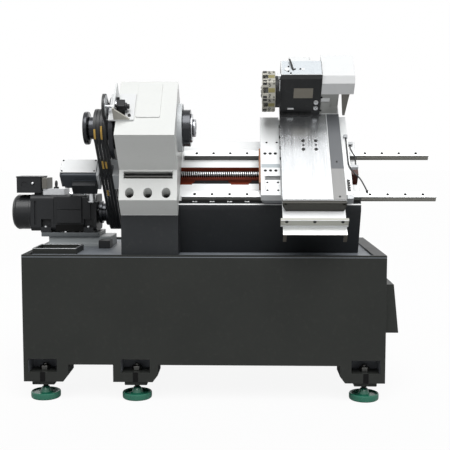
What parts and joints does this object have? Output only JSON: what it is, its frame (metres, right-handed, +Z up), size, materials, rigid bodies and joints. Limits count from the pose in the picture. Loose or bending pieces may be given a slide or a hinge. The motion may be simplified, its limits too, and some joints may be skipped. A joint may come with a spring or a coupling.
{
  "type": "cnc turning lathe",
  "caption": "Slant-bed CNC turning lathe without its enclosure: grey headstock, belt drive, tool turret on a cross slide, black base on green levelling pads.",
  "frame": {"origin": "centre of the overall box on the floor under the levelling pads", "axes": "X along the spindle from motor to rail end, Y from front to back, Z up"},
  "size_m": [2.033, 0.935, 1.6144],
  "materials": {
    "black_paint": "semi-gloss black",
    "green_paint": "gloss green",
    "dark_steel": "oiled dark",
    "ground_steel": "ground bright",
    "bearing_steel": "machined",
    "grey_paint": "satin light grey",
    "white_paint": "satin white",
    "black_iron": "blackened",
    "belt_rubber": "matt black",
    "motor_paint": "matt black",
    "plate_steel": "grey primer",
    "red_paint": "red-brown primer",
    "machined_iron": "milled",
    "cover_sheet": "polished sheet",
    "bronze": "bronze",
    "tube_black": "matt",
    "sight_glass": "clear",
    "tool_steel": "machined"
  },
  "bodies": {
    "base": {"base_casting": "black_paint", "chip_hood": "black_paint", "levelling_pads": "green_paint", "levelling_studs": "dark_steel", "slant_bed": "black_paint", "bed_rails": "ground_steel", "headstock": "grey_paint", "headstock_cover": "grey_paint", "headstock_bolts": "dark_steel", "spindle_bearings": "bearing_steel", "front_bearing_cap": "grey_paint", "rear_bearing_cap": "black_iron", "encoder_bracket": "grey_paint", "encoder_body": "motor_paint", "encoder_belt": "belt_rubber", "drive_belts": "belt_rubber", "motor_frame": "motor_paint", "motor_fan_cowl": "motor_paint", "motor_terminal_box": "motor_paint", "motor_lifting_eye": "dark_steel", "motor_plate": "plate_steel", "motor_block": "plate_steel", "z_servo_motor": "motor_paint", "z_motor_bracket": "plate_steel", "z_end_bearing": "red_paint"},
    "spindle": {"spindle": "black_iron", "spindle_pulley": "black_iron", "spindle_collar": "black_iron", "encoder_drive_pulley": "black_iron"},
    "motor_rotor": {"motor_shaft": "ground_steel", "motor_pulley": "black_iron"},
    "encoder_rotor": {"encoder_pulley": "black_iron"},
    "z_screw": {"z_screw": "ground_steel"},
    "carriage": {"saddle": "machined_iron", "z_guide_blocks": "bearing_steel", "wiper_strip": "bronze", "z_nut": "bearing_steel", "x_rails": "ground_steel", "x_motor_bracket": "plate_steel", "x_servo_motor": "white_paint", "lower_way_cover": "cover_sheet", "oil_manifold": "machined_iron", "oil_tubes": "tube_black"},
    "x_screw": {"x_screw": "ground_steel"},
    "cross_slide": {"cross_slide": "machined_iron", "x_guide_blocks": "bearing_steel", "x_nut": "bearing_steel", "slide_cover": "cover_sheet", "slide_side_strip": "machined_iron", "slide_end_plate": "machined_iron", "upper_way_cover": "cover_sheet", "turret_housing": "motor_paint", "turret_sight_glasses": "sight_glass", "turret_motor_cover": "white_paint", "turret_gear_housing": "grey_paint", "cable_duct": "motor_paint"},
    "turret": {"turret_disc": "tool_steel", "tool_wedges": "tool_steel"}
  },
  "joints": [
    {"name": "spindle_spin", "type": "hinge", "parent": "base", "child": "spindle", "pos_m": [0, -0.22479, 1.24353], "axis": [1, 0, 0], "continuous": true},
    {"name": "motor_spin", "type": "hinge", "parent": "base", "child": "motor_rotor", "pos_m": [0, 0.17945, 0.83], "axis": [1, 0, 0], "continuous": true},
    {"name": "encoder_spin", "type": "hinge", "parent": "base", "child": "encoder_rotor", "pos_m": [0, -0.38672, 1.33333], "axis": [1, 0, 0], "continuous": true},
    {"name": "z_slide", "type": "slide", "parent": "base", "child": "carriage", "axis": [1, 0, 0], "range_m": [-0.29, 0.155]},
    {"name": "z_screw_spin", "type": "hinge", "parent": "base", "child": "z_screw", "pos_m": [0, -0.07489, 1.02715], "axis": [1, 0, 0], "continuous": true},
    {"name": "x_slide", "type": "slide", "parent": "carriage", "child": "cross_slide", "axis": [0, 0.7071, 0.7071], "range_m": [-0.13, 0.025]},
    {"name": "x_screw_spin", "type": "hinge", "parent": "carriage", "child": "x_screw", "pos_m": [0.4215, -0.27076, 0.98826], "axis": [0, 0.7071, 0.7071], "continuous": true},
    {"name": "turret_index", "type": "hinge", "parent": "cross_slide", "child": "turret", "pos_m": [0, -0.05014, 1.41818], "axis": [1, 0, 0], "continuous": true}
  ],
  "couplings": [
    {"joint": "motor_spin", "follows": "spindle_spin", "ratio": 1.0267},
    {"joint": "encoder_spin", "follows": "spindle_spin", "ratio": 1},
    {"joint": "z_screw_spin", "follows": "z_slide", "rad_per_m": 628.32},
    {"joint": "x_screw_spin", "follows": "x_slide", "rad_per_m": 1047.2}
  ]
}
